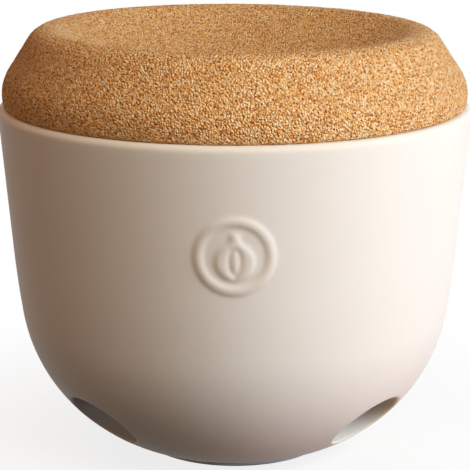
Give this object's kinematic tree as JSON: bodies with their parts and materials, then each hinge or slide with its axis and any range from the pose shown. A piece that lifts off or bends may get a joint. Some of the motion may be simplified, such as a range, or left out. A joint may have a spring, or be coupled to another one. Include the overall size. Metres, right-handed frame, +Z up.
{
  "type": "garlic keeper",
  "caption": "Round cream stoneware garlic keeper with side vents low on its wall, a small foot ring and a dished cork lid.",
  "frame": {"origin": "under the middle of the foot ring, in the plane that the pot stands on", "axes": "+Z up along the axis of the pot and lid, -Y towards the front with the medallion"},
  "size_m": [0.1396, 0.1396, 0.1271],
  "materials": {
    "glazed_stoneware": "satin",
    "cork": "matte"
  },
  "bodies": {
    "root": {"pot": "glazed_stoneware", "cork_lid": "cork"}
  },
  "joints": []
}
